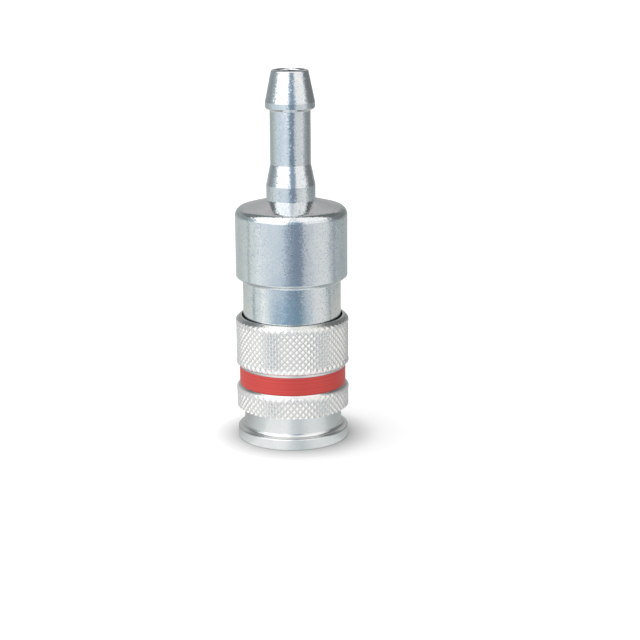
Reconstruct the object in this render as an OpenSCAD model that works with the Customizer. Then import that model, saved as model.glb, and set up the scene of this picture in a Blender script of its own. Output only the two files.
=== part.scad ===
// Quick coupling for a compressed-air line: the socket half, with a barbed hose tail.
// It stands on its mouth. Z runs up through the hose tail, and z = 0 is the face that
// takes the plug. The sleeve slides up by sleeve_lift to free the balls that lock the plug.

/* [Hose tail] */
// Bore for the air through the tail
hose_bore_d = 6.5; // [4.5:0.1:7]
// Bevel at the mouth of that bore
hose_bore_bevel = 0.35; // [0.1:0.05:0.4]
// Wall of the neck that the hose grips
hose_wall = 1.25; // [0.8:0.05:2]
// Length of that neck, from the taper to the barb
hose_neck_l = 12.1; // [8:0.1:18]
// How far the barb stands above the neck
barb_rise = 1; // [0.8:0.05:1.6]
// Length of the barb, with its land
barb_l = 8.5; // [6:0.1:11]
// Straight land below the barb's cone
barb_land = 1.2; // [0.4:0.05:1.5]
// Bevel at the back edge of the barb
barb_bevel = 0.35; // [0.1:0.05:0.5]
// Tool radius where the barb meets the neck
barb_fillet = 0.4; // [0.2:0.05:0.6]
// Wall of the barb at its tip
tip_wall = 0.9; // [0.8:0.05:1.4]
// Rounding of the tip's outer edge
tip_edge_r = 0.4; // [0.1:0.05:0.5]
// How far the collar that stops the hose stands above the neck
collar_rise = 0.95; // [0.5:0.05:3]
// Length of the collar
collar_l = 3.35; // [2:0.05:6]
// Length of the taper from the collar to the hose neck
taper_l = 4.6; // [3:0.1:7]

/* [Head and neck] */
// How far the round head stands out from the neck
head_step = 1.5; // [1.1:0.1:4]
// Height of the head, from its underside to the collar
head_l = 17.4; // [14:0.1:24]
// Slope of the head's top face, in degrees
head_slope = 15; // [8:1:20]
// Rounding of the head's upper edge
head_edge_r = 2; // [1:0.1:3]
// Rounding of the head's lower edge
head_foot_r = 0.5; // [0.1:0.05:0.5]
// Fillet between the neck and the head
neck_fillet = 0.95; // [0.5:0.05:1]
// Length of neck left bare at rest, between sleeve and head
neck_gap = 8.75; // [6:0.05:14]
// Length of neck inside the sleeve at rest
neck_inside_l = 4.3; // [3.5:0.1:5.5]
// Bevel at the neck's lower edge
neck_bevel = 0.3; // [0.1:0.05:0.5]

/* [Sleeve] */
// How far the knurling raises the bar's surface
knurl_rise = 0.24; // [0.1:0.02:0.4]
// Depth of the knurling's grooves, from the crests
knurl_depth = 0.36; // [0.2:0.02:0.45]
// Pitch of the knurling, across its grooves, which run at 45 degrees to the axis
knurl_pitch = 1; // [0.8:0.1:1.6]
// Length of the upper knurling
upper_knurl_l = 9.95; // [8:0.05:14]
// Length of the lower knurling
lower_knurl_l = 4.5; // [3:0.05:6]
// Bevel at the sleeve's upper rim
rim_bevel = 0.9; // [0.5:0.05:1]
// How far the marking ring and the strip above it lie below the knurling
band_step = 0.74; // [0.5:0.02:0.8]
// Width of the plain strip above the marking ring
strip_w = 0.1; // [0.1:0.02:1]
// Width of the marking ring
band_w = 4.1; // [3:0.1:6]
// Thickness of the marking ring
band_t = 0.4; // [0.3:0.05:0.45]
// Height of the turned bevel between the marking ring and the lower knurling
band_bevel_l = 0.75; // [0.5:0.05:0.9]
// Wall of the sleeve in the plain groove above the front flange
groove_wall = 0.75; // [0.6:0.05:1.2]
// Height of that groove
groove_l = 4.86; // [3:0.02:7]
// Fillet between that groove and the flange
groove_fillet = 1; // [0.5:0.1:1.2]
// Thickness of the front flange
flange_t = 2.4; // [2:0.1:3.4]
// Broken edges of the flange
flange_break = 0.15; // [0.05:0.05:0.3]
// Free travel of the sleeve along the axis
sleeve_lift = 4; // [3:0.25:4.5]

/* [Plug socket] */
// Diameter of the bore that takes the plug
plug_bore_d = 12.2; // [11:0.1:14]
// How much wider, all round, the guide section at the mouth is
guide_step = 0.2; // [0.1:0.05:0.4]
// Lead-in bevel at the mouth
mouth_bevel = 0.8; // [0.4:0.1:1]
// Wall of the nose that carries the balls
nose_wall = 2.9; // [2.6:0.05:3.4]
// Number of locking balls
ball_count = 6;
// Diameter of a locking ball
ball_d = 4; // [3.6:0.05:4.2]
// Height of the balls above the mouth
ball_z = 9; // [8.5:0.05:10]
// How far a ball stands into the bore when it locks
ball_bite = 1.1; // [0.9:0.05:1.2]
// Length of the bore in front of the balls that isn't guide section
guide_margin = 1.2; // [0.6:0.1:2]
// Length of the bore behind the balls
bore_margin = 2; // [1:0.1:4]

/* [Seals and valve] */
// How far the seat's opening is set in from the plug's bore
seat_step = 1.5; // [1:0.05:2]
// Thickness of the lip in front of the plug's seal
lip_t = 1.2; // [0.8:0.1:1.6]
// Height of the plug's seal
plug_seal_h = 3; // [2:0.1:3.6]
// How far the plug's seal reaches inside the seat's opening
plug_seal_bite = 0.3; // [0.1:0.05:0.4]
// Height of the brass ring that holds the seal and forms the valve's seat
retainer_h = 2; // [1.4:0.1:2.6]
// Air gap round the valve's head
valve_gap = 1.1; // [0.8:0.05:1.2]
// Thickness of the valve's head
valve_head_t = 1.6; // [1:0.1:2]
// Thickness of the rubber ring on the valve
valve_seal_t = 1.2; // [0.8:0.1:1.6]
// How deep the groove is that holds this ring
valve_seal_groove = 0.4; // [0.2:0.05:0.5]
// Air gap round the stub that the plug pushes
stub_gap = 1.2; // [0.8:0.05:1.6]
// Length of the stub in front of the valve's seat
stub_l = 4.2; // [3:0.1:5]
// Width of the cross slots that let air past the stub
stub_slot_w = 1.6; // [1:0.1:2]
// Depth of those slots
stub_slot_l = 2.5; // [1:0.1:2.8]
// Diameter of the valve's stem
stem_d = 3.2; // [2.6:0.1:3.6]
// How far the stem stands out behind its guide
stem_reach = 1; // [0.5:0.1:2]
// Travel of the valve
valve_lift = 4.5; // [3:0.25:5]
// Thickness of the guide plate behind the valve
guide_t = 2; // [1.6:0.1:2.6]
// Number of air holes in the guide plate
guide_holes = 6; // [4:1:7]
// Diameter of those air holes
guide_hole_d = 2.4; // [1.6:0.1:2.6]
// How far the nose's threaded shank is set in from the nose
shank_step = 0.6; // [0.4:0.05:0.8]
// Wall of that shank
shank_wall = 1.8; // [1.6:0.05:2.2]
// Length of that shank inside the neck
shank_l = 9; // [8:0.1:10]
// Section of the ring that seals the shank
o_ring_d = 1; // [0.8:0.05:1.1]
// How far this ring's groove lies below the shank's end
o_ring_inset = 1.2; // [0.8:0.1:2]
// Step that the guide plate rests on, at the foot of the rear chamber
rear_step = 2.45; // [1.5:0.05:3]

/* [Springs and rings] */
// Room between nose and sleeve for the sleeve's spring
spring_room = 1.9; // [1.7:0.05:2.2]
// Wire of the sleeve's spring
sleeve_wire = 1.2; // [1:0.05:1.3]
// Turns of the sleeve's spring
sleeve_turns = 4.5; // [4:0.25:5]
// Wire of the valve's spring
valve_wire = 0.8; // [0.6:0.05:0.9]
// Turns of the valve's spring
valve_turns = 6; // [5:0.5:7]
// Gap between the valve's spring and the stem inside it
valve_spring_gap = 1.2; // [0.8:0.1:1.4]
// Height of the bosses that centre the valve's spring
boss_h = 1.2; // [0.8:0.1:2]
// Height of the sleeve's land above the balls, up to the spring's washer
land_margin = 1.8; // [1:0.1:3]
// Thickness of the washer under the sleeve's spring
washer_t = 0.8; // [0.5:0.05:1.2]
// Height of the snap ring that stops the sleeve, above the mouth
snap_z = 0.8; // [0.5:0.05:1]
// Thickness of the snap ring
snap_t = 0.8; // [0.6:0.05:0.9]
// How far the snap ring stands out from the nose
snap_rise = 1; // [0.7:0.05:1.1]
// Depth of the snap ring's groove in the nose
snap_seat = 0.65; // [0.4:0.05:0.8]
// Opening between the ends of the snap ring
snap_gap = 3.5; // [2:0.1:6]

/* [Fits] */
// Radial gap between the neck and the sleeve
neck_clear = 0.35; // [0.2:0.05:0.5]
// How much wider, all round, the neck is than the spring's chamber in the sleeve
neck_over = 0.1; // [0:0.05:0.3]
// Radial gap between the nose and the sleeve's land
land_clear = 0.15; // [0.1:0.01:0.2]
// Radial gap between the sleeve's lip and the land above it
lip_clear = 0.25; // [0.1:0.05:0.3]
// Gap between a ball and its hole, all round
ball_clear = 0.05; // [0.03:0.01:0.08]
// Radial gap of pieces that are pressed or screwed home
seat_clear = 0.05; // [0.02:0.01:0.08]
// Gap round the marking ring in its seat
band_clear = 0.02; // [0.01:0.01:0.05]
// Radial gap between the valve's stem and its guide
stem_clear = 0.1; // [0.05:0.01:0.15]
// Gap kept beside springs, washer and the shank's sealing ring
ring_clear = 0.1; // [0.05:0.05:0.2]
// Gap kept round the snap ring and below the lifted sleeve
free_clear = 0.3; // [0.2:0.05:0.5]
// Room kept past the end of a travel
travel_clear = 1; // [0.5:0.1:2]

/* [Hidden] */

$fn = 96;
arc_steps = 8;      // straight facets in each rounded edge of an outline
over = 1;           // how far a cutter runs past what it cuts
tuck = 0.1;         // how far a knurled ring runs on under the plain metal at its ends
bury = 0.3;         // how deep a knurled ring reaches into the wall that carries it
drill_point = 59;   // half the point angle of the drill that made the rear chamber

// The nose, from the plug's bore outwards
plug_r = plug_bore_d / 2;
guide_r = plug_r + guide_step;
nose_r = plug_r + nose_wall;
shank_r = nose_r - shank_step;
socket_r = shank_r + seat_clear;
chamber_r = shank_r - shank_wall;
rear_chamber_r = socket_r - rear_step;
seat_r = plug_r - seat_step;
snap_r = nose_r + snap_rise;

// The balls, and the ramp inside the sleeve that follows them as the sleeve lifts
ball_r = ball_d / 2;
ball_c = plug_r - ball_bite + ball_r;
ball_hole_r = ball_r + ball_clear;
ball_lip_r = sqrt(pow(ball_r, 2) - pow(ball_r - ball_bite, 2)) + 2 * ball_clear;
ramp = ball_bite / sleeve_lift;
land_r = nose_r + land_clear;
recess_r = land_r + ball_bite;
land_z = ball_z + (ball_c + ball_r * sqrt(1 + ramp * ramp) - land_r + ball_clear / 2) / ramp;
recess_z = land_z - sleeve_lift;

// The sleeve, the neck and the head, from the nose outwards
lip_r = land_r + lip_clear;
groove_r = recess_r + groove_wall;
spring_chamber_r = nose_r + spring_room;
sleeve_spring_r = spring_chamber_r - 2 * ring_clear - sleeve_wire / 2;
neck_r = spring_chamber_r + neck_over;
sleeve_bore_r = neck_r + neck_clear;
head_r = neck_r + head_step;
knurl_r = head_r + knurl_rise;
knurl_root_r = knurl_r - knurl_depth;
knurl_lines = round(2 * PI * knurl_r * cos(45) / knurl_pitch);
core_r = knurl_root_r - tuck;
band_r = knurl_r - band_step;
band_floor_r = band_r - band_t;

// Heights inside the nose, from the mouth upwards
guide_bore_z = ball_z - ball_r - guide_margin;
plug_bore_z = ball_z + ball_r + bore_margin;
seal_z = plug_bore_z + lip_t;
retainer_z = seal_z + plug_seal_h;
seat_z = retainer_z + retainer_h;
valve_head_z = seat_z + valve_seal_t;
valve_back_z = valve_head_z + valve_head_t;

// Heights inside the sleeve
lip_z = snap_z + snap_t;
lip_top_z = ball_z - ball_r - sleeve_lift + free_clear;
washer_z = ball_z + ball_r + land_margin;
washer_top_z = washer_z + washer_t;

// Heights outside the sleeve
lower_knurl_z = flange_t + groove_l;
lower_knurl_top_z = lower_knurl_z + lower_knurl_l;
band_z = lower_knurl_top_z + band_bevel_l;
band_top_z = band_z + band_w;
strip_top_z = band_top_z + strip_w;
upper_knurl_z = strip_top_z + band_step;
upper_knurl_top_z = upper_knurl_z + upper_knurl_l;
sleeve_l = upper_knurl_top_z + rim_bevel;

// Heights of the rear body and of what it holds
neck_z = sleeve_l - neck_inside_l;
sleeve_step_z = neck_z - sleeve_lift - travel_clear;
head_z = sleeve_l + neck_gap;
collar_z = head_z + head_l;
taper_z = collar_z + collar_l;
hose_neck_z = taper_z + taper_l;
barb_z = hose_neck_z + hose_neck_l;
top_z = barb_z + barb_l;
shank_z = neck_z + shank_l;
groove_top_z = shank_z - o_ring_inset;
guide_top_z = shank_z + guide_t;
stem_end_z = guide_top_z + stem_reach;
rear_chamber_z = stem_end_z + valve_lift + travel_clear / 2;

// The valve and its spring
stem_r = stem_d / 2;
stub_r = seat_r - stub_gap;
seal_neck_r = stub_r - valve_seal_groove;
valve_head_r = chamber_r - valve_gap;
valve_spring_r = stem_r + valve_spring_gap + valve_wire / 2;
boss_r = valve_spring_r - valve_wire / 2 - 2 * ring_clear;

// Points along an arc, from angle a0 to angle a1
function arc(centre, r, a0, a1) = [
    for (i = [0:arc_steps])
        let (a = a0 + (a1 - a0) * i / arc_steps) centre + r * [cos(a), sin(a)]
];

// A turned piece: its outline, given as [radius, height] points, spun round the axis
module turned(outline) {
    rotate_extrude() polygon(outline);
}

// A plain ring between two heights
module ring(inner_r, outer_r, z0, z1) {
    turned([[inner_r, z0], [outer_r, z0], [outer_r, z1], [inner_r, z1]]);
}

// A compression spring between two flat seats, with closed coils at its ends
module coil_spring(r, wire, z0, z1, turns) {
    closed = 0.9;
    closed_pitch = wire * 1.06;
    open_pitch = (z1 - z0 - wire - 2 * closed * closed_pitch) / (turns - 2 * closed);
    steps = round(turns * 22);
    sides = 8;
    function climb(t) = t < closed ? t * closed_pitch
        : t < turns - closed ? closed * closed_pitch + (t - closed) * open_pitch
        : closed * closed_pitch + (turns - 2 * closed) * open_pitch
            + (t - turns + closed) * closed_pitch;
    points = [
        for (i = [0:steps], k = [0:sides - 1])
            let (t = turns * i / steps, a = 360 * t, b = 360 * (k + 0.5) / sides,
                 reach = r + wire / 2 * cos(b))
            [reach * cos(a), reach * sin(a), z0 + wire / 2 + climb(t) + wire / 2 * sin(b)]
    ];
    walls = [
        for (i = [0:steps - 1], k = [0:sides - 1])
            let (a = i * sides + k, b = i * sides + (k + 1) % sides)
            each [[a, b + sides, a + sides], [a, b, b + sides]]
    ];
    ends = [
        [for (k = [sides - 1:-1:0]) k],
        [for (k = [0:sides - 1]) steps * sides + k]
    ];
    polyhedron(points, concat(walls, ends));
}

// Ring of diamond knurling: crests and groove crossings alternate on a lattice of rows.
// Above its last row it leans inwards with the bevel there, by lean for each unit of height.
module knurling(z0, z1, lean, inner_r) {
    columns = 2 * knurl_lines;
    rows = round((z1 - z0) * knurl_lines / (PI * knurl_r));
    bevel_r = core_r - tuck / 10;   // just inside the bevel, so that the bevel covers it
    end_z = z1 + (knurl_r - core_r) / lean;
    function ring_at(j) =
        j < 0 ? [inner_r, inner_r, z0]
        : j > rows + 1 ? [inner_r, inner_r, end_z]
        : j > rows ? [bevel_r, bevel_r, end_z]
        : [knurl_r, knurl_root_r, z0 + (z1 - z0) * j / rows];
    points = [
        for (j = [-1:rows + 2], i = [0:columns - 1])
            let (at = ring_at(j), r = (i + j) % 2 == 0 ? at[0] : at[1], a = 360 * i / columns)
            [r * cos(a), r * sin(a), at[2]]
    ];
    layers = rows + 4;
    skin = [
        for (j = [0:layers - 1], i = [0:columns - 1])
            let (next = (i + 1) % columns, up = (j + 1) % layers,
                 a = j * columns + i, b = j * columns + next,
                 c = up * columns + next, d = up * columns + i)
            each (i + j) % 2 == 0 ? [[a, c, b], [a, d, c]] : [[a, d, b], [b, d, c]]
    ];
    polyhedron(points, skin);
}

// Hose tail, head and neck, turned from one bar
module rear_body() {
    bore_r = hose_bore_d / 2;
    hose_neck_r = bore_r + hose_wall;
    barb_r = hose_neck_r + barb_rise;
    collar_r = hose_neck_r + collar_rise;
    tip_r = bore_r + tip_wall;
    edge_x = head_r - head_edge_r;
    edge_top = head_edge_r * [sin(head_slope), cos(head_slope)];
    edge_z = collar_z - (edge_x + edge_top[0] - collar_r) * tan(head_slope) - edge_top[1];
    color("silver")
    turned(concat(
        [[socket_r, neck_z], [neck_r - neck_bevel, neck_z], [neck_r, neck_z + neck_bevel]],
        arc([neck_r + neck_fillet, head_z - neck_fillet], neck_fillet, 180, 90),
        arc([head_r - head_foot_r, head_z + head_foot_r], head_foot_r, -90, 0),
        arc([edge_x, edge_z], head_edge_r, 0, 90 - head_slope),
        [[collar_r, collar_z], [collar_r, taper_z], [hose_neck_r, hose_neck_z]],
        arc([hose_neck_r + barb_fillet, barb_z - barb_fillet], barb_fillet, 180, 90),
        [[barb_r - barb_bevel, barb_z], [barb_r, barb_z + barb_bevel],
         [barb_r, barb_z + barb_bevel + barb_land]],
        arc([tip_r - tip_edge_r, top_z - tip_edge_r], tip_edge_r, 0, 90),
        [[bore_r + hose_bore_bevel, top_z], [bore_r, top_z - hose_bore_bevel],
         [bore_r, rear_chamber_z + (rear_chamber_r - bore_r) / tan(drill_point)],
         [rear_chamber_r, rear_chamber_z], [rear_chamber_r, guide_top_z],
         [socket_r, guide_top_z]]
    ));
}

// Front part of the body: plug bore, ball cage, seal housing and threaded shank
module nose_body() {
    groove_z = groove_top_z - o_ring_d - 2 * ring_clear;
    groove_floor_r = shank_r - o_ring_d;
    snap_floor_r = nose_r - snap_seat;
    color("gainsboro")
    difference() {
        turned([
            [guide_r + mouth_bevel, 0], [nose_r, 0],
            [nose_r, snap_z - seat_clear], [snap_floor_r, snap_z - seat_clear],
            [snap_floor_r, lip_z + seat_clear], [nose_r, lip_z + seat_clear],
            [nose_r, neck_z], [shank_r, neck_z],
            [shank_r, groove_z], [groove_floor_r, groove_z],
            [groove_floor_r, groove_top_z], [shank_r, groove_top_z],
            [shank_r, shank_z], [chamber_r, shank_z],
            [chamber_r, seal_z], [seat_r, seal_z], [seat_r, plug_bore_z],
            [plug_r, plug_bore_z], [plug_r, guide_bore_z + guide_step],
            [guide_r, guide_bore_z], [guide_r, mouth_bevel]
        ]);
        for (i = [0:ball_count - 1]) ball_hole(i);
    }
}

// Radial hole for one ball, narrowed at the bore so that the ball stays in
module ball_hole(i) {
    narrow_r = plug_r - tuck;
    rotate([0, 0, 360 * i / ball_count]) translate([0, 0, ball_z]) rotate([0, 90, 0]) {
        translate([0, 0, ball_c]) cylinder(h = nose_r - ball_c + over, r = ball_hole_r);
        translate([0, 0, narrow_r]) cylinder(h = ball_c - narrow_r, r1 = ball_lip_r, r2 = ball_hole_r);
        translate([0, 0, narrow_r - over]) cylinder(h = over, r = ball_lip_r);
    }
}

// Rubber ring that seals the shank in the rear body
module body_o_ring() {
    centre = [shank_r + (seat_clear - o_ring_d) / 2, groove_top_z - ring_clear - o_ring_d / 2];
    color("#26282a")
    rotate_extrude() translate(centre) circle(d = o_ring_d);
}

// Sliding sleeve with its two knurled grips, the seat of the marking ring and the front flange
module sleeve() {
    mouth_r = snap_r + free_clear;
    lower_lean = band_step / band_bevel_l;
    lower_rim_z = lower_knurl_top_z + knurl_depth / lower_lean;
    upper_rim_z = upper_knurl_top_z + knurl_depth;
    fillet_end = acos((core_r - knurl_r) / band_step);
    color("lightgray") {
        turned(concat(
            [[sleeve_bore_r, sleeve_l], [sleeve_bore_r, sleeve_step_z],
             [spring_chamber_r, sleeve_step_z], [spring_chamber_r, washer_z], [land_r, washer_z],
             [land_r, land_z], [recess_r, recess_z], [recess_r, lip_top_z],
             [lip_r, lip_top_z], [lip_r, lip_z], [mouth_r, lip_z], [mouth_r, 0],
             [head_r - flange_break, 0], [head_r, flange_break],
             [head_r, flange_t - flange_break], [head_r - flange_break, flange_t]],
            arc([groove_r + groove_fillet, flange_t + groove_fillet], groove_fillet, 270, 180),
            [[groove_r, lower_knurl_z + tuck], [core_r, lower_knurl_z + tuck],
             [core_r, lower_rim_z], [knurl_root_r, lower_rim_z],
             [band_r, band_z], [band_floor_r, band_z],
             [band_floor_r, band_top_z], [band_r, band_top_z]],
            arc([knurl_r, strip_top_z], band_step, 180, fillet_end),
            [[core_r, upper_rim_z], [knurl_root_r, upper_rim_z], [knurl_r - rim_bevel, sleeve_l]]
        ));
        knurling(upper_knurl_z, upper_knurl_top_z, 1, core_r - bury);
        knurling(lower_knurl_z, lower_knurl_top_z, lower_lean, groove_r - bury);
    }
}

// Coloured ring snapped round the sleeve
module marking_ring() {
    color("#c8504e")
    ring(band_floor_r + band_clear, band_r, band_z + band_clear, band_top_z - band_clear);
}

// Washer that carries the sleeve's spring
module spring_seat_washer() {
    color("gainsboro")
    ring(nose_r + ring_clear, spring_chamber_r - ring_clear, washer_z, washer_top_z);
}

module sleeve_spring() {
    color("gray")
    coil_spring(sleeve_spring_r, sleeve_wire, washer_top_z, neck_z, sleeve_turns);
}

// Open ring in the nose's front groove, on which the sleeve's lip rests
module sleeve_snap_ring() {
    color("dimgray")
    difference() {
        ring(nose_r - snap_seat + seat_clear, snap_r, snap_z, lip_z);
        translate([0, -snap_gap / 2, snap_z - over]) cube([snap_r + over, snap_gap, snap_t + 2 * over]);
    }
}

// One of the locking balls
module lock_ball(i) {
    color("whitesmoke")
    rotate([0, 0, 360 * i / ball_count]) translate([ball_c, 0, ball_z]) sphere(r = ball_r);
}

// Rubber ring that grips the plug's tip
module plug_seal() {
    inner_r = seat_r - plug_seal_bite;
    outer_r = chamber_r - seat_clear;
    waist = plug_seal_h / 4;
    color("#26282a")
    turned([
        [seat_r, seal_z], [outer_r, seal_z], [outer_r, retainer_z], [seat_r, retainer_z],
        [inner_r, retainer_z - waist], [inner_r, seal_z + waist]
    ]);
}

// Brass ring behind the plug's seal, whose back face is the valve's seat
module seal_retainer() {
    color("goldenrod")
    ring(seat_r, chamber_r - seat_clear, retainer_z, seat_z);
}

// Valve: slotted stub, head, spring boss and stem
module valve_poppet() {
    stub_z = seat_z - stub_l;
    stub_bevel = 0.3;
    color("goldenrod")
    difference() {
        turned([
            [0, stub_z], [stub_r - stub_bevel, stub_z], [stub_r, stub_z + stub_bevel],
            [stub_r, seat_z], [seal_neck_r, seat_z], [seal_neck_r, valve_head_z],
            [valve_head_r, valve_head_z], [valve_head_r, valve_back_z],
            [boss_r, valve_back_z], [boss_r, valve_back_z + boss_h],
            [stem_r, valve_back_z + boss_h], [stem_r, stem_end_z], [0, stem_end_z]
        ]);
        for (a = [0, 90])
            rotate([0, 0, a])
            translate([-stub_r - over, -stub_slot_w / 2, stub_z - over])
            cube([2 * (stub_r + over), stub_slot_w, stub_slot_l + over]);
    }
}

// Flat rubber ring held behind the stub's rim
module valve_seal() {
    color("#26282a")
    ring(seal_neck_r + seat_clear, valve_head_r, seat_z, valve_head_z);
}

module valve_spring() {
    color("gray")
    coil_spring(valve_spring_r, valve_wire, valve_back_z, shank_z, valve_turns);
}

// Perforated plate that guides the stem and carries the valve's spring
module valve_guide() {
    stem_hole_r = stem_r + stem_clear;
    hole_circle_r = (valve_spring_r + valve_wire / 2 + chamber_r) / 2;
    color("goldenrod")
    difference() {
        turned([
            [stem_hole_r, shank_z - boss_h], [boss_r, shank_z - boss_h], [boss_r, shank_z],
            [shank_r, shank_z], [shank_r, guide_top_z], [stem_hole_r, guide_top_z]
        ]);
        for (i = [0:guide_holes - 1])
            rotate([0, 0, 360 * i / guide_holes])
            translate([hole_circle_r, 0, shank_z - over])
            cylinder(h = guide_t + 2 * over, d = guide_hole_d);
    }
}

rear_body();
nose_body();
body_o_ring();
sleeve();
marking_ring();
spring_seat_washer();
sleeve_spring();
sleeve_snap_ring();
lock_ball(0);  // lock_ball_1
lock_ball(1);  // lock_ball_2
lock_ball(2);  // lock_ball_3
lock_ball(3);  // lock_ball_4
lock_ball(4);  // lock_ball_5
lock_ball(5);  // lock_ball_6
plug_seal();
seal_retainer();
valve_poppet();
valve_seal();
valve_spring();
valve_guide();
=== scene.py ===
import math

import bpy
from mathutils import Matrix


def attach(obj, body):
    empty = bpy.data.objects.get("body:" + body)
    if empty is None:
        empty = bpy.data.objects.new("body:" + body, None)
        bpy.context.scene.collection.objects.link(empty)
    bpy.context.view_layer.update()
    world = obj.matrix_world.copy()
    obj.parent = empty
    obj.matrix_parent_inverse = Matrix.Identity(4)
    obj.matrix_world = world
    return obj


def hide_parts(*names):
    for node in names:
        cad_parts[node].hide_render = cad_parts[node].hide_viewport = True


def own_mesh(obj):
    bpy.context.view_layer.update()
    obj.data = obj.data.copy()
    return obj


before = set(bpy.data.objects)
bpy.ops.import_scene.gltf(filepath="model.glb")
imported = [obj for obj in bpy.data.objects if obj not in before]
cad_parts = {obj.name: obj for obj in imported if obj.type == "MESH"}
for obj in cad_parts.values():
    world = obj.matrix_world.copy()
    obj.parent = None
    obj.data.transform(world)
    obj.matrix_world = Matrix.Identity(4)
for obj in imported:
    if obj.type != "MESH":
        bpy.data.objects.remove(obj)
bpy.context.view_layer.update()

mm = 0.001      # the pieces' sizes are in millimetres, Blender works in metres
lathe = {
    "steps": 192, "arcSteps": 12, "weld": 0.002,
    "sharpTurn": 25, "softEdge": 0.09, "softShare": 0.3, "softLeast": 0.01,
    "longLine": 0.3, "holding": 0.04, "smoothAngle": 35,
}


# small tools for modelling

def deselectAll():
    if bpy.context.object and bpy.context.object.mode != "OBJECT":
        bpy.ops.object.mode_set(mode="OBJECT")
    bpy.ops.object.select_all(action="DESELECT")


def pick(obj):
    deselectAll()
    obj.select_set(True)
    bpy.context.view_layer.objects.active = obj


def arcPoints(centre, radius, fromAngle, toAngle):
    # points of a rounded edge in the outline, angles in degrees
    points = []
    for i in range(lathe["arcSteps"] + 1):
        a = math.radians(fromAngle + (toAngle - fromAngle) * i / lathe["arcSteps"])
        points.append((centre[0] + radius * math.cos(a), centre[1] + radius * math.sin(a)))
    return points


def partWay(start, end, length):
    # the point at some length from start towards end
    share = length / math.dist(start, end)
    return (start[0] + (end[0] - start[0]) * share, start[1] + (end[1] - start[1]) * share)


def finishOutline(outline):
    # sharp corners get a small rounding, long lines a holding point near each end
    soft = []
    for i, corner in enumerate(outline):
        before, after = outline[i - 1], outline[(i + 1) % len(outline)]
        turn = math.atan2(corner[1] - before[1], corner[0] - before[0])
        turn = math.degrees(math.atan2(after[1] - corner[1], after[0] - corner[0]) - turn)
        turn = abs((turn + 180) % 360 - 180)
        cut = min(lathe["softEdge"], lathe["softShare"] * math.dist(before, corner),
                  lathe["softShare"] * math.dist(corner, after))
        if turn < lathe["sharpTurn"] or cut < lathe["softLeast"]:
            soft.append(corner)
            continue
        first, last = partWay(corner, before, cut), partWay(corner, after, cut)
        middle = tuple((first[k] + 2 * corner[k] + last[k]) / 4 for k in (0, 1))
        soft += [first, middle, last]
    held = []
    for point, after in zip(soft, soft[1:] + soft[:1]):
        held.append(point)
        if math.dist(point, after) > lathe["longLine"]:
            held.append(partWay(point, after, lathe["holding"]))
            held.append(partWay(after, point, lathe["holding"]))
    return held


def drawOutline(name, outline):
    # one vertex is walked along the outline by extruding it, in the XZ plane
    deselectAll()
    bpy.ops.mesh.primitive_plane_add(size=mm, location=(0, 0, 0))
    obj = bpy.context.object
    obj.name = name
    obj.data.name = name
    bpy.ops.object.mode_set(mode="EDIT")
    bpy.ops.mesh.merge(type="CENTER")
    here = outline[0]
    bpy.ops.transform.translate(value=(here[0] * mm, 0, here[1] * mm))
    for point in outline[1:]:
        step = ((point[0] - here[0]) * mm, 0, (point[1] - here[1]) * mm)
        bpy.ops.mesh.extrude_region_move(TRANSFORM_OT_translate={"value": step})
        here = point
    bpy.ops.mesh.select_all(action="SELECT")
    return obj


def turnPiece(name, outline, steps=None, closed=True):
    # a lathe: the outline is spun round the axis and welded, a closed one with its edges softened
    if closed:
        outline = finishOutline(outline)
        outline.append(outline[0])
    obj = drawOutline(name, outline)
    bpy.ops.mesh.spin(steps=steps or lathe["steps"], angle=math.tau, center=(0, 0, 0), axis=(0, 0, 1))
    bpy.ops.mesh.select_all(action="SELECT")
    bpy.ops.mesh.remove_doubles(threshold=lathe["weld"] * mm)
    bpy.ops.mesh.delete_loose()
    bpy.ops.mesh.select_all(action="SELECT")
    bpy.ops.mesh.normals_make_consistent(inside=False)
    bpy.ops.object.mode_set(mode="OBJECT")
    return obj


def breakEdges(obj, width, angle):
    # one small flat on every sharp edge, as a file or a tumbler leaves it
    pick(obj)
    bevel = obj.modifiers.new("brokenEdges", "BEVEL")
    bevel.width = width * mm
    bevel.segments = 1
    bevel.limit_method = "ANGLE"
    bevel.angle_limit = math.radians(angle)
    bpy.ops.object.modifier_apply(modifier=bevel.name)


def smooth(obj, angle=lathe["smoothAngle"]):
    pick(obj)
    bpy.ops.object.shade_smooth_by_angle(angle=math.radians(angle))


def coat(obj, material):
    obj.data.materials.clear()
    obj.data.materials.append(material)


def dress(obj, body, node):
    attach(obj, body)
    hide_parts(node)


# shader groups that several materials share

def newGroup(name, inputs, outputs):
    group = bpy.data.node_groups.new(name, "ShaderNodeTree")
    for label, kind, value in inputs:
        socket = group.interface.new_socket(label, in_out="INPUT", socket_type=kind)
        if value is not None:
            socket.default_value = value
    for label, kind in outputs:
        group.interface.new_socket(label, in_out="OUTPUT", socket_type=kind)
    return group, group.nodes.new("NodeGroupInput"), group.nodes.new("NodeGroupOutput")


def noiseNode(tree, vector, scale, detail, roughness):
    noise = tree.nodes.new("ShaderNodeTexNoise")
    noise.inputs["Scale"].default_value = scale
    noise.inputs["Detail"].default_value = detail
    noise.inputs["Roughness"].default_value = roughness
    tree.links.new(vector, noise.inputs["Vector"])
    return noise.outputs["Fac"]


def mapNode(tree, value, low, high, toLow, toHigh):
    ranged = tree.nodes.new("ShaderNodeMapRange")
    ends = {"From Min": low, "From Max": high, "To Min": toLow, "To Max": toHigh}
    for socket, number in ends.items():
        ranged.inputs[socket].default_value = number
    tree.links.new(value, ranged.inputs["Value"])
    return ranged.outputs["Result"]


def mathNode(tree, operation, first, second=0):
    node = tree.nodes.new("ShaderNodeMath")
    node.operation = operation
    for socket, value in zip(node.inputs, (first, second)):
        if isinstance(value, (int, float)):
            socket.default_value = value
        else:
            tree.links.new(value, socket)
    return node.outputs[0]


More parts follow.
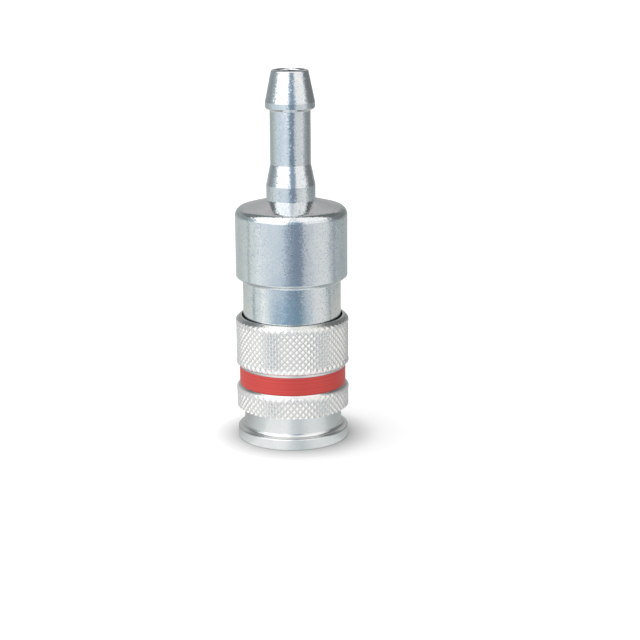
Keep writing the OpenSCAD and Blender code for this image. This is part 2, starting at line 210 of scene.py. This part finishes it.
def radiusNode(tree, vector):
    # distance from the axis, and height
    split = tree.nodes.new("ShaderNodeSeparateXYZ")
    tree.links.new(vector, split.inputs["Vector"])
    squares = [mathNode(tree, "MULTIPLY", split.outputs[axis], split.outputs[axis]) for axis in "XY"]
    return mathNode(tree, "SQRT", mathNode(tree, "ADD", *squares)), split.outputs["Z"]


# scales count per metre
skin = {
    "cells": 4300.0, "rarity": 2.0, "waves": 1400.0, "waveDetail": 2.0, "waveRoughness": 0.5,
    "clouds": 160.0, "cloudDetail": 4.0, "cloudRoughness": 0.6, "cloudRange": (0.3, 0.7),
}


def makeMottle():
    # the skin of tumbled, zinc plated steel: faint waves, cloudy patches and small dented cells,
    # most of them hardly tilted, some strongly; the cell's colour gives the direction of its tilt
    s = skin
    group, source, out = newGroup(
        "zincMottle",
        [("Vector", "NodeSocketVector", None)],
        [("Height", "NodeSocketFloat"), ("Clouds", "NodeSocketFloat"), ("Spots", "NodeSocketFloat"),
         ("Cells", "NodeSocketColor")],
    )
    vector = source.outputs["Vector"]
    waves = noiseNode(group, vector, s["waves"], s["waveDetail"], s["waveRoughness"])
    group.links.new(waves, out.inputs["Height"])
    clouds = noiseNode(group, vector, s["clouds"], s["cloudDetail"], s["cloudRoughness"])
    group.links.new(mapNode(group, clouds, *s["cloudRange"], 0.0, 1.0), out.inputs["Clouds"])
    cells = group.nodes.new("ShaderNodeTexVoronoi")
    cells.inputs["Scale"].default_value = s["cells"]
    group.links.new(vector, cells.inputs["Vector"])
    group.links.new(cells.outputs["Color"], out.inputs["Cells"])
    chance = group.nodes.new("ShaderNodeSeparateColor")
    group.links.new(cells.outputs["Color"], chance.inputs["Color"])
    spots = mathNode(group, "POWER", chance.outputs["Blue"], s["rarity"])
    group.links.new(spots, out.inputs["Spots"])
    return group


# the pitch counts per metre, and on flat faces the lines lie closer
toolMarks = {"pitch": 9000.0, "onFaces": 1.3, "detail": 3.0, "roughness": 0.7}


def makeTurning():
    # fine lines that the lathe tool leaves round the axis: they vary with height and radius only
    group, source, out = newGroup(
        "turningLines",
        [("Vector", "NodeSocketVector", None), ("Pitch", "NodeSocketFloat", toolMarks["pitch"])],
        [("Height", "NodeSocketFloat")],
    )
    radius, height = radiusNode(group, source.outputs["Vector"])
    across = mathNode(group, "MULTIPLY", radius, toolMarks["onFaces"])
    along = mathNode(group, "ADD", across, height)
    lines = group.nodes.new("ShaderNodeTexNoise")
    lines.noise_dimensions = "1D"
    lines.inputs["Detail"].default_value = toolMarks["detail"]
    lines.inputs["Roughness"].default_value = toolMarks["roughness"]
    lines.inputs["Scale"].default_value = 1.0
    group.links.new(mathNode(group, "MULTIPLY", along, source.outputs["Pitch"]), lines.inputs["W"])
    group.links.new(lines.outputs["Fac"], out.inputs["Height"])
    return group


mottleGroup = makeMottle()
turningGroup = makeTurning()


def startMaterial(name):
    material = bpy.data.materials.new(name)
    material.use_nodes = True
    tree = material.node_tree
    shader = tree.nodes["Principled BSDF"]
    place = tree.nodes.new("ShaderNodeTexCoord").outputs["Object"]
    return material, tree, shader, place


def groupNode(tree, group, vector):
    node = tree.nodes.new("ShaderNodeGroup")
    node.node_tree = group
    tree.links.new(vector, node.inputs["Vector"])
    return node


def mixColours(tree, factor, first, second):
    mix = tree.nodes.new("ShaderNodeMix")
    mix.data_type = "RGBA"
    tree.links.new(factor, mix.inputs["Factor"])
    for socket, value in ((mix.inputs["A"], first), (mix.inputs["B"], second)):
        if isinstance(value, tuple):
            socket.default_value = (*value, 1)
        else:
            tree.links.new(value, socket)
    return mix.outputs["Result"]


def bumpInto(tree, shader, height, distance):
    bump = tree.nodes.new("ShaderNodeBump")
    bump.inputs["Distance"].default_value = distance * mm
    tree.links.new(height, bump.inputs["Height"])
    tree.links.new(bump.outputs["Normal"], shader.inputs["Normal"])
    return bump


def vectorNode(tree, operation, first, second=None):
    node = tree.nodes.new("ShaderNodeVectorMath")
    node.operation = operation
    tree.links.new(first, node.inputs[0])
    if isinstance(second, tuple):
        node.inputs[1].default_value = second
    elif second is not None:
        tree.links.new(second, node.inputs["Scale" if operation == "SCALE" else 1])
    return node.outputs[0]


def dentNormal(tree, mottle, dents):
    # the surface's own normal, tilted a little differently in each cell, and less up and down
    upright = 0.4
    centred = vectorNode(tree, "SUBTRACT", mottle.outputs["Cells"], (0.5, 0.5, 0.5))
    chosen = vectorNode(tree, "SCALE", centred, mottle.outputs["Spots"])
    tilt = vectorNode(tree, "MULTIPLY", chosen, (dents, dents, upright * dents))
    normal = tree.nodes.new("ShaderNodeNewGeometry").outputs["Normal"]
    return vectorNode(tree, "NORMALIZE", vectorNode(tree, "ADD", normal, tilt))


zincBump = 0.01


def makeZinc(name, look):
    # zinc plated steel; a look with a groove colour has it below a radius, as painted shade in the
    # bottom of the knurl's grooves
    material, tree, shader, place = startMaterial(name)
    mottle = groupNode(tree, mottleGroup, place)
    turning = groupNode(tree, turningGroup, place)
    turning.inputs["Pitch"].default_value = look["linePitch"]
    colour = mixColours(tree, mottle.outputs["Clouds"], look["colour"], look["cloudColour"])
    spots = mathNode(tree, "MULTIPLY", mottle.outputs["Spots"], look["spots"])
    colour = mixColours(tree, spots, colour, look["spotColour"])
    # painted shade: the colour darkens deep in the grooves, below a radius
    if "groove" in look:
        low, high = look["grooveShadeRadius"]
        deep = mapNode(tree, radiusNode(tree, place)[0], low * mm, high * mm, 1.0, 0.0)
        colour = mixColours(tree, deep, colour, look["groove"])
    tree.links.new(colour, shader.inputs["Base Color"])
    rough = mapNode(tree, mottle.outputs["Clouds"], 0.0, 1.0, *look["roughness"])
    tree.links.new(rough, shader.inputs["Roughness"])
    shader.inputs["Metallic"].default_value = look["metallic"]
    waves = mathNode(tree, "MULTIPLY", mottle.outputs["Height"], look["waves"])
    lines = mathNode(tree, "MULTIPLY", turning.outputs["Height"], look["lines"])
    bump = bumpInto(tree, shader, mathNode(tree, "ADD", waves, lines), zincBump)
    tree.links.new(dentNormal(tree, mottle, look["dents"]), bump.inputs["Normal"])
    return material


zincPlate = makeZinc("zincPlate", {
    "colour": (0.84, 0.845, 0.83), "cloudColour": (0.76, 0.78, 0.79), "spotColour": (0.50, 0.58, 0.69),
    "spots": 0.6, "roughness": (0.08, 0.12), "metallic": 1.0,
    "dents": 0.27, "waves": 0.5, "lines": 0.15, "linePitch": 9000.0,
})
zincTurned = makeZinc("zincTurned", {
    "colour": (0.84, 0.84, 0.83), "cloudColour": (0.78, 0.785, 0.78), "spotColour": (0.70, 0.72, 0.74),
    "spots": 0.4, "roughness": (0.16, 0.22), "metallic": 1.0,
    "dents": 0.15, "waves": 0.2, "lines": 0.8, "linePitch": 7000.0,
})
# a darker copy of the plated zinc for the sleeve rim's bevel: painted shade that dims the bright room
# it reflects
zincBevelPaintedShade = makeZinc("zincBevelPaintedShade", {
    "colour": (0.74, 0.75, 0.73), "cloudColour": (0.68, 0.69, 0.67), "spotColour": (0.60, 0.62, 0.61),
    "spots": 0.4, "roughness": (0.2, 0.28), "metallic": 1.0,
    "dents": 0.15, "waves": 0.2, "lines": 0.6, "linePitch": 7000.0,
})
zincKnurl = makeZinc("zincKnurl", {
    "colour": (0.92, 0.91, 0.89), "cloudColour": (0.86, 0.85, 0.83), "spotColour": (0.70, 0.70, 0.70),
    # the groove colour is painted shade in the bottom of the grooves
    "groove": (0.72, 0.72, 0.70), "grooveShadeRadius": (12.4, 12.58),
    "spots": 0.4, "roughness": (0.19, 0.26), "metallic": 0.6,
    "dents": 0.3, "waves": 0.5, "lines": 0.2, "linePitch": 7000.0,
})


redLook = {
    "colour": (0.63, 0.034, 0.030), "worn": (0.72, 0.115, 0.10), "wornLines": (0.35, 0.7),
    "roughness": (0.3, 0.42), "metallic": 0.25, "linePitch": 6000.0, "bump": 0.02,
}


def makeRed(look):
    # red finish, paler on the crests of the turning lines
    material, tree, shader, place = startMaterial("redAnodised")
    turning = groupNode(tree, turningGroup, place)
    turning.inputs["Pitch"].default_value = look["linePitch"]
    mottle = groupNode(tree, mottleGroup, place)
    lines = mapNode(tree, turning.outputs["Height"], *look["wornLines"], 0.0, 1.0)
    colour = mixColours(tree, lines, look["colour"], look["worn"])
    tree.links.new(colour, shader.inputs["Base Color"])
    rough = mapNode(tree, mottle.outputs["Clouds"], 0.0, 1.0, *look["roughness"])
    tree.links.new(rough, shader.inputs["Roughness"])
    shader.inputs["Metallic"].default_value = look["metallic"]
    bumpInto(tree, shader, turning.outputs["Height"], look["bump"])
    return material


def makePlain(name, look):
    # the small inner pieces: one colour with fine cloudiness and the marks of their making
    material, tree, shader, place = startMaterial(name)
    mottle = groupNode(tree, mottleGroup, place)
    turning = groupNode(tree, turningGroup, place)
    colour = mixColours(tree, mottle.outputs["Clouds"], look["colour"], look["second"])
    tree.links.new(colour, shader.inputs["Base Color"])
    rough = mapNode(tree, mottle.outputs["Clouds"], 0.0, 1.0, *look["roughness"])
    tree.links.new(rough, shader.inputs["Roughness"])
    shader.inputs["Metallic"].default_value = look["metallic"]
    bumpInto(tree, shader, turning.outputs["Height"], look["bump"])
    return material


redRing = makeRed(redLook)
brass = makePlain("turnedBrass", {
    "colour": (0.80, 0.60, 0.26), "second": (0.72, 0.51, 0.21),
    "roughness": (0.18, 0.3), "metallic": 1.0, "bump": 0.004,
})
sealRubber = makePlain("sealRubber", {
    "colour": (0.022, 0.022, 0.023), "second": (0.035, 0.035, 0.036),
    "roughness": (0.5, 0.68), "metallic": 0.0, "bump": 0.006,
})
springWire = makePlain("springWire", {
    "colour": (0.46, 0.46, 0.47), "second": (0.36, 0.36, 0.38),
    "roughness": (0.22, 0.34), "metallic": 1.0, "bump": 0.002,
})
ballSteel = makePlain("ballSteel", {
    "colour": (0.74, 0.74, 0.75), "second": (0.7, 0.7, 0.72),
    "roughness": (0.06, 0.12), "metallic": 1.0, "bump": 0.0005,
})
print("materials ready")


# hose tail, head and neck, one turned piece

tail = {
    "bore": 3.25, "boreBevel": 0.35, "neck": 4.5, "barb": 5.5, "barbBevel": 0.35, "barbLand": 1.2,
    "barbFillet": 0.4, "tip": 4.15, "tipEdge": 0.4, "collar": 5.45,
    "collarZ": 54.45, "taperZ": 57.8, "neckZ": 62.4, "barbZ": 74.5, "topZ": 83.0,
}
head = {
    "radius": 12.5, "underZ": 37.05, "edge": 2.0, "foot": 0.5, "slope": 15.0,
    "neck": 11.0, "neckZ": 24.0, "neckBevel": 0.3, "fillet": 0.95,
    "socket": 8.45, "guideZ": 35.0, "chamber": 6.0, "chamberZ": 41.0, "drillZ": 42.652,
}


def makeRearBody():
    t, h = tail, head
    slope = math.radians(h["slope"])
    edgeX = h["radius"] - h["edge"]
    rimX = edgeX + h["edge"] * math.sin(slope)
    edgeZ = t["collarZ"] - (rimX - t["collar"]) * math.tan(slope) - h["edge"] * math.cos(slope)
    outline = [(h["socket"], h["neckZ"]), (h["neck"] - h["neckBevel"], h["neckZ"]),
               (h["neck"], h["neckZ"] + h["neckBevel"])]
    outline += arcPoints((h["neck"] + h["fillet"], h["underZ"] - h["fillet"]), h["fillet"], 180, 90)
    outline += arcPoints((h["radius"] - h["foot"], h["underZ"] + h["foot"]), h["foot"], -90, 0)
    outline += arcPoints((edgeX, edgeZ), h["edge"], 0, 90 - h["slope"])
    outline += [(t["collar"], t["collarZ"]), (t["collar"], t["taperZ"]), (t["neck"], t["neckZ"])]
    outline += arcPoints((t["neck"] + t["barbFillet"], t["barbZ"] - t["barbFillet"]),
                         t["barbFillet"], 180, 90)
    outline += [(t["barb"] - t["barbBevel"], t["barbZ"]), (t["barb"], t["barbZ"] + t["barbBevel"]),
                (t["barb"], t["barbZ"] + t["barbBevel"] + t["barbLand"])]
    outline += arcPoints((t["tip"] - t["tipEdge"], t["topZ"] - t["tipEdge"]), t["tipEdge"], 0, 90)
    outline += [(t["bore"] + t["boreBevel"], t["topZ"]), (t["bore"], t["topZ"] - t["boreBevel"]),
                (t["bore"], h["drillZ"]), (h["chamber"], h["chamberZ"]), (h["chamber"], h["guideZ"]),
                (h["socket"], h["guideZ"])]
    piece = turnPiece("rearBody", outline)
    smooth(piece)
    coat(piece, zincPlate)
    dress(piece, "coupling_body", "rear_body")


makeRearBody()
print("rear body turned")


# pull-back sleeve: a turned core with two knurled grips

grip = {
    "crest": 12.74, "depth": 0.36, "lines": 57,
    "upper": (17.45, 27.4), "lower": (7.26, 11.76), "rimZ": 28.3, "rimBevel": 0.9, "rimNormal": 0.3,
    "band": 12.0, "bandFloor": 11.6, "bandZ": 12.51, "bandTopZ": 16.61, "stripZ": 16.71, "step": 0.74,
    "groove": 11.0, "grooveFillet": 1.0, "flange": 12.5, "flangeTopZ": 2.4, "flangeBreak": 0.15,
    "bore": 11.35, "boreStepZ": 19.0, "springRoom": 10.9, "washerZ": 12.8, "land": 9.15, "landZ": 8.8,
    "recess": 10.25, "recessZ": 4.8, "lipTopZ": 3.3, "lip": 9.4, "lipZ": 1.6, "mouth": 10.3,
    "under": 0.1, "weld": 0.01, "broken": 0.045, "brokenAngle": 30, "smoothAngle": 24,
}


def gripRing(name, lowZ, highZ, lowEnd, highEnd):
    # a lattice of vertices, every second one pressed in to the bottom of the grooves;
    # lowEnd and highEnd are the heights where the grooves run out of the end faces
    g = grip
    rows = round((highZ - lowZ) * g["lines"] / (math.pi * g["crest"]))
    root = g["crest"] - g["depth"]
    rowStep = (highZ - lowZ) / rows
    crests = [(g["crest"], lowZ + rowStep * j) for j in range(rows + 1)]
    outline = [(root, lowEnd), *crests, (root, highEnd)]
    ring = turnPiece(name, outline, steps=2 * g["lines"], closed=False)
    for part in (*ring.data.edges, *ring.data.polygons):
        part.select = False
    groups = {"all": [], "low": [], "high": []}
    for vertex in ring.data.vertices:
        x, y, z = (value / mm for value in vertex.co)
        vertex.select = False
        if math.hypot(x, y) < (g["crest"] + root) / 2:
            continue
        column = round(math.atan2(y, x) / math.pi * g["lines"])
        row = round((z - lowZ) / rowStep)
        if (column + row) % 2:
            groups["all"].append(vertex.index)
            if row in (0, rows):
                groups["low" if row == 0 else "high"].append(vertex.index)
    squeeze = root / g["crest"]
    moves = (("all", 0.0), ("low", lowEnd - lowZ), ("high", highEnd - highZ))
    for key, lift in moves:
        for vertex in ring.data.vertices:
            vertex.select = False
        for index in groups[key]:
            ring.data.vertices[index].select = True
        bpy.ops.object.mode_set(mode="EDIT")
        bpy.ops.mesh.select_mode(type="VERT")
        if key == "all":
            bpy.ops.transform.resize(value=(squeeze, squeeze, 1), center_override=(0, 0, 0))
        else:
            bpy.ops.transform.translate(value=(0, 0, lift * mm))
        bpy.ops.object.mode_set(mode="OBJECT")
    bpy.ops.object.mode_set(mode="EDIT")
    bpy.ops.mesh.select_all(action="SELECT")
    bpy.ops.mesh.remove_doubles(threshold=g["weld"] * mm)
    bpy.ops.mesh.quads_convert_to_tris(quad_method="SHORTEST_DIAGONAL", ngon_method="BEAUTY")
    bpy.ops.mesh.normals_make_consistent(inside=False)
    bpy.ops.object.mode_set(mode="OBJECT")
    return ring


def makeSleeve():
    g = grip
    root = g["crest"] - g["depth"]
    core = root - g["under"]
    bevelRise = (g["bandZ"] - g["lower"][1]) * g["depth"] / g["step"]
    filletRise = math.sqrt(g["step"] ** 2 - g["depth"] ** 2)
    ends = {"lower": (g["lower"][0], g["lower"][1] + bevelRise),
            "upper": (g["stripZ"] + filletRise, g["upper"][1] + g["depth"])}
    outline = [(g["bore"], g["rimZ"]), (g["bore"], g["boreStepZ"]), (g["springRoom"], g["boreStepZ"]),
               (g["springRoom"], g["washerZ"]), (g["land"], g["washerZ"]), (g["land"], g["landZ"]),
               (g["recess"], g["recessZ"]), (g["recess"], g["lipTopZ"]), (g["lip"], g["lipTopZ"]),
               (g["lip"], g["lipZ"]), (g["mouth"], g["lipZ"]), (g["mouth"], 0),
               (g["flange"] - g["flangeBreak"], 0), (g["flange"], g["flangeBreak"]),
               (g["flange"], g["flangeTopZ"] - g["flangeBreak"]),
               (g["flange"] - g["flangeBreak"], g["flangeTopZ"])]
    outline += arcPoints((g["groove"] + g["grooveFillet"], g["flangeTopZ"] + g["grooveFillet"]),
                         g["grooveFillet"], 270, 180)
    outline += [(g["groove"], ends["lower"][0]), (root, ends["lower"][0]),
                (core, ends["lower"][0] + g["under"]), (core, ends["lower"][1] - g["under"]),
                (root, ends["lower"][1]),
                (g["band"], g["bandZ"]), (g["bandFloor"], g["bandZ"]),
                (g["bandFloor"], g["bandTopZ"]), (g["band"], g["bandTopZ"])]
    outline += arcPoints((g["crest"], g["stripZ"]), g["step"], 180,
                         90 + math.degrees(math.asin(g["depth"] / g["step"])))
    outline += [(core, ends["upper"][0] + g["under"]), (core, ends["upper"][1] - g["under"]),
                (root, ends["upper"][1]), (g["crest"] - g["rimBevel"], g["rimZ"])]
    piece = turnPiece("knurledSleeve", outline, steps=4 * g["lines"])
    smooth(piece)
    grips = [gripRing(key + "Grip", *g[key], *ends[key]) for key in ("lower", "upper")]
    for ring in grips:
        breakEdges(ring, g["broken"], g["brokenAngle"])
        smooth(ring, g["smoothAngle"])
        coat(ring, zincKnurl)
    coat(piece, zincTurned)
    pick(piece)
    for ring in grips:
        ring.select_set(True)
    bpy.ops.object.join()
    # the rim's bevel has a darker copy of the zinc, painted shade that dims its bright reflection, in
    # the last material slot
    piece.data.materials.append(zincBevelPaintedShade)
    for face in piece.data.polygons:
        if face.normal.z > g["rimNormal"] and face.center.z > g["upper"][1] * mm:
            face.material_index = len(piece.data.materials) - 1
    dress(piece, "sleeve", "sleeve")


makeSleeve()
print("sleeve turned and knurled")


# marking ring

band = {"inner": 11.62, "outer": 12.0, "lowZ": 12.53, "highZ": 16.59}


def makeMarkingRing():
    b = band
    piece = turnPiece("markingRing", [(b["inner"], b["lowZ"]), (b["outer"], b["lowZ"]),
                                      (b["outer"], b["highZ"]), (b["inner"], b["highZ"])])
    smooth(piece)
    coat(piece, redRing)
    dress(piece, "sleeve", "marking_ring")


makeMarkingRing()
print("marking ring made")


# springs: copies of the modelled coils

springs = {
    "sleeve_spring": {"name": "sleeveSpring", "joint": "sleeve_lift", "travel": 4.0},
    "valve_spring": {"name": "valveSpring", "joint": "valve_lift", "travel": 4.5},
}


def makeSpring(node, spring):
    piece = bpy.data.objects.new(spring["name"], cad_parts[node].data.copy())
    bpy.context.scene.collection.objects.link(piece)
    coat(piece, springWire)
    dress(piece, "coupling_body", node)
    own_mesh(piece)


for node, spring in springs.items():
    makeSpring(node, spring)
print("springs made")


# the other inner pieces keep their modelled shape and get their finish

finishes = {
    "nose_body": zincPlate, "spring_seat_washer": zincPlate, "sleeve_snap_ring": springWire,
    "body_o_ring": sealRubber, "plug_seal": sealRubber, "valve_seal": sealRubber,
    "seal_retainer": brass, "valve_poppet": brass, "valve_guide": brass,
}
for number in range(1, 7):
    finishes[f"lock_ball_{number}"] = ballSteel
for name, material in finishes.items():
    coat(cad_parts[name], material)
print("inner pieces finished")


# floor and room

def roomRamp(tree, vector, stops):
    # colours round the object by direction: 0 is the camera's side, the right hand side counts up
    split = tree.nodes.new("ShaderNodeSeparateXYZ")
    tree.links.new(vector, split.inputs["Vector"])
    forward = mathNode(tree, "MULTIPLY", split.outputs["Y"], -1)
    turn = mathNode(tree, "ARCTAN2", split.outputs["X"], forward)
    ramp = tree.nodes.new("ShaderNodeValToRGB")
    elements = ramp.color_ramp.elements
    for index, (angle, colour) in enumerate(stops):
        stop = elements[index] if index < 2 else elements.new(1.0)
        stop.position = (angle + 180) / 360
        stop.color = (*colour, 1)
    tree.links.new(mapNode(tree, turn, -math.pi, math.pi, 0.0, 1.0), ramp.inputs["Fac"])
    return ramp.outputs["Color"]


# lengths in metres; the last three are distances from the axis where one ring of colours turns into
# the next, pale is the table's own grey, for its light on the object and for the camera, and the
# contact shadow entry is how far the painted contact shadow reaches
table = {
    "size": 3.6, "place": (0, 0.5, -0.00002), "paintedContactShadow": 0.01, "pale": (0.85, 1.12),
    "nearToMiddle": (0.06, 0.1), "middleToFar": (0.152, 0.158), "farToDeep": (0.28, 0.34),
}


def makeFloor():
    # pale table, a little overexposed for the camera; where metal reflects it, the table glows with
    # painted colours of the room, which near the axis also hold a painted shadow of the object
    deselectAll()
    bpy.ops.mesh.primitive_plane_add(size=table["size"], location=table["place"])
    bpy.ops.object.transform_apply(location=True)
    floor = bpy.context.object
    floor.name = "floor"
    material, tree, shader, place = startMaterial("paleTable")
    deep = roomRamp(tree, place, [
        (-180, (0.52, 0.54, 0.53)), (-125, (0.46, 0.50, 0.49)), (-97, (0.60, 0.67, 0.68)),
        (-80, (0.70, 0.79, 0.82)), (-54, (0.72, 0.81, 0.90)), (-30, (0.84, 0.93, 1.00)),
        (-14, (0.76, 0.85, 0.91)), (-8, (0.58, 0.69, 0.78)), (-1, (0.28, 0.36, 0.45)),
        (9, (0.22, 0.29, 0.37)), (18, (0.24, 0.31, 0.38)), (25, (0.58, 0.62, 0.66)),
        (32, (0.72, 0.75, 0.77)), (68, (0.79, 0.80, 0.80)), (76, (0.68, 0.70, 0.72)),
        (89, (0.38, 0.42, 0.45)), (117, (0.28, 0.30, 0.30)), (180, (0.42, 0.43, 0.42)),
    ])
    far = roomRamp(tree, place, [
        (-180, (0.60, 0.62, 0.61)), (-130, (0.57, 0.61, 0.60)), (-101, (0.71, 0.76, 0.73)),
        (-96.5, (0.37, 0.45, 0.47)), (-92, (0.73, 0.78, 0.77)), (-76, (0.81, 0.87, 0.87)),
        (-71, (0.93, 0.97, 0.98)), (-50, (0.79, 0.86, 0.90)), (-26, (0.69, 0.76, 0.83)),
        (-17, (0.62, 0.70, 0.78)), (-9, (0.42, 0.50, 0.59)), (0, (0.30, 0.36, 0.45)),
        (11, (0.24, 0.30, 0.38)), (20, (0.28, 0.33, 0.43)), (25, (0.52, 0.56, 0.61)),
        (36, (0.67, 0.70, 0.73)), (49, (0.78, 0.80, 0.81)), (71, (0.83, 0.84, 0.84)),
        (78, (0.74, 0.77, 0.77)), (85, (0.56, 0.59, 0.62)), (91, (0.49, 0.54, 0.57)),
        (95, (0.34, 0.38, 0.41)), (100, (0.49, 0.53, 0.55)), (123, (0.42, 0.47, 0.48)),
        (180, (0.48, 0.48, 0.47)),
    ])
    middle = roomRamp(tree, place, [
        (-180, (0.62, 0.64, 0.61)), (-140, (0.63, 0.65, 0.61)), (-104, (0.74, 0.78, 0.76)),
        (-97.5, (0.33, 0.41, 0.42)), (-91, (0.75, 0.82, 0.82)), (-77, (0.84, 0.88, 0.86)),
        (-70, (1.06, 1.09, 1.06)), (-58, (0.86, 0.92, 0.92)), (-46, (0.56, 0.67, 0.74)),
        (-36, (0.42, 0.55, 0.67)), (-19, (0.37, 0.52, 0.65)), (-13, (0.28, 0.42, 0.56)),
        (14, (0.21, 0.33, 0.42)), (22, (0.26, 0.38, 0.46)), (30, (0.44, 0.54, 0.61)),
        (40, (0.57, 0.65, 0.70)), (50, (0.79, 0.81, 0.82)), (60, (0.89, 0.89, 0.88)),
        (80, (0.83, 0.83, 0.80)), (88, (0.63, 0.66, 0.64)), (93, (0.57, 0.61, 0.60)),
        (97, (0.36, 0.42, 0.43)), (102, (0.59, 0.60, 0.56)), (180, (0.54, 0.55, 0.53)),
    ])
    near = roomRamp(tree, place, [
        (-180, (0.45, 0.46, 0.46)), (-103, (0.46, 0.48, 0.48)), (-88, (0.56, 0.57, 0.58)),
        (-77, (0.64, 0.68, 0.68)), (-57, (0.77, 0.82, 0.82)), (-50, (0.97, 0.99, 0.99)),
        (-11, (0.97, 1.00, 1.00)), (-1, (0.75, 0.80, 0.82)), (11, (0.64, 0.69, 0.72)),
        (26, (0.81, 0.84, 0.85)), (38, (0.85, 0.88, 0.89)), (60, (0.77, 0.80, 0.81)),
        (71, (0.57, 0.60, 0.61)), (95, (0.45, 0.48, 0.48)), (180, (0.45, 0.46, 0.46)),
    ])
    reach = tree.nodes.new("ShaderNodeVectorMath")
    reach.operation = "LENGTH"
    tree.links.new(place, reach.inputs[0])
    away = reach.outputs["Value"]
    seen = near
    for edge, colours in (("nearToMiddle", middle), ("middleToFar", far), ("farToDeep", deep)):
        seen = mixColours(tree, mapNode(tree, away, *table[edge], 0.0, 1.0), seen, colours)
    path = tree.nodes.new("ShaderNodeLightPath")
    matt = tree.nodes.new("ShaderNodeBsdfDiffuse")
    # painted contact shadow: ambient occlusion darkens the table's colour close to the object
    paintedContactShadow = tree.nodes.new("ShaderNodeAmbientOcclusion")
    paintedContactShadow.inputs["Distance"].default_value = table["paintedContactShadow"]
    pale = mapNode(tree, path.outputs["Is Camera Ray"], 0.0, 1.0, *table["pale"])
    tree.links.new(mathNode(tree, "MULTIPLY", pale, paintedContactShadow.outputs["AO"]), matt.inputs["Color"])
    # painted reflection: for glossy rays the table glows with the ring colours instead of being lit
    glow = tree.nodes.new("ShaderNodeEmission")
    tree.links.new(seen, glow.inputs["Color"])
    either = tree.nodes.new("ShaderNodeMixShader")
    tree.links.new(path.outputs["Is Glossy Ray"], either.inputs["Fac"])
    tree.links.new(matt.outputs[0], either.inputs[1])
    tree.links.new(glow.outputs[0], either.inputs[2])
    tree.links.new(either.outputs[0], tree.nodes["Material Output"].inputs["Surface"])
    tree.nodes.remove(shader)
    floor.data.materials.append(material)


# how far up the low screens reach, as a direction's Z, and the plain light from left to right
tent = {"lowTop": (0.34, 0.5), "plain": (1.7, 0.42)}


def makeWorld():
    # a tent of bright screens on the camera's side, open behind, with a grey wall at the back
    world = bpy.data.worlds.new("studio")
    bpy.context.scene.world = world
    world.use_nodes = True
    tree = world.node_tree
    direction = tree.nodes.new("ShaderNodeTexCoord").outputs["Generated"]
    low = roomRamp(tree, direction, [
        (-180, (0.48, 0.49, 0.48)), (-150, (0.38, 0.40, 0.40)), (-108, (0.30, 0.34, 0.36)),
        (-90, (0.42, 0.50, 0.52)), (-80, (0.62, 0.70, 0.75)), (-70, (1.50, 1.50, 1.50)),
        (-12, (1.50, 1.50, 1.50)), (-3, (0.60, 0.70, 0.78)), (3, (0.32, 0.42, 0.53)),
        (16, (0.28, 0.38, 0.49)), (22, (0.45, 0.51, 0.58)), (27, (0.92, 0.92, 0.92)),
        (32, (1.06, 1.05, 1.04)), (73, (1.06, 1.05, 1.04)), (85, (0.50, 0.52, 0.54)),
        (95, (0.23, 0.25, 0.27)), (125, (0.20, 0.21, 0.21)), (150, (0.24, 0.25, 0.25)),
        (180, (0.48, 0.49, 0.48)),
    ])
    high = roomRamp(tree, direction, [
        (-180, (0.55, 0.53, 0.535)), (-150, (0.52, 0.51, 0.51)), (-138, (0.20, 0.22, 0.22)),
        (-104, (0.20, 0.22, 0.22)), (-86, (1.60, 1.60, 1.60)), (-12, (1.60, 1.60, 1.60)),
        (-3, (0.92, 0.96, 0.98)), (14, (0.86, 0.90, 0.93)), (22, (1.20, 1.19, 1.18)),
        (84, (1.18, 1.17, 1.14)), (97, (0.17, 0.18, 0.18)), (136, (0.17, 0.18, 0.18)),
        (150, (0.52, 0.50, 0.505)), (180, (0.55, 0.53, 0.535)),
    ])
    split = tree.nodes.new("ShaderNodeSeparateXYZ")
    tree.links.new(direction, split.inputs["Vector"])
    walls = mixColours(tree, mapNode(tree, split.outputs["Z"], *tent["lowTop"], 0.0, 1.0), low, high)
    # what isn't a reflection gets an even light, somewhat stronger from the left
    plain = mapNode(tree, split.outputs["X"], -1.0, 1.0, *tent["plain"])
    path = tree.nodes.new("ShaderNodeLightPath")
    lit = mixColours(tree, path.outputs["Is Glossy Ray"], plain, walls)
    seen = mixColours(tree, path.outputs["Is Camera Ray"], lit, (1.0, 1.0, 1.0))
    tree.links.new(seen, tree.nodes["Background"].inputs["Color"])


makeFloor()
makeWorld()
print("floor and room set")


# camera, placed as the photograph was taken, with lengths in millimetres and angles in degrees

view = {
    "distance": 356.32, "height": 120.11, "down": 14.689, "turned": 1.009, "rolled": 0.341,
    "lens": 91.7, "sensor": 36, "clipStart": 10,
}
bpy.ops.object.camera_add(location=(0, -view["distance"] * mm, view["height"] * mm))
camera = bpy.context.object
camera.matrix_world = (
    Matrix.Translation(camera.location)
    @ Matrix.Rotation(-math.radians(view["turned"]), 4, "Z")
    @ Matrix.Rotation(math.radians(90 - view["down"]), 4, "X")
    @ Matrix.Rotation(-math.radians(view["rolled"]), 4, "Z")
)
camera.data.lens = view["lens"]
camera.data.sensor_width = view["sensor"]
camera.data.clip_start = view["clipStart"] * mm
bpy.context.scene.camera = camera
bpy.context.scene.view_settings.view_transform = "Standard"
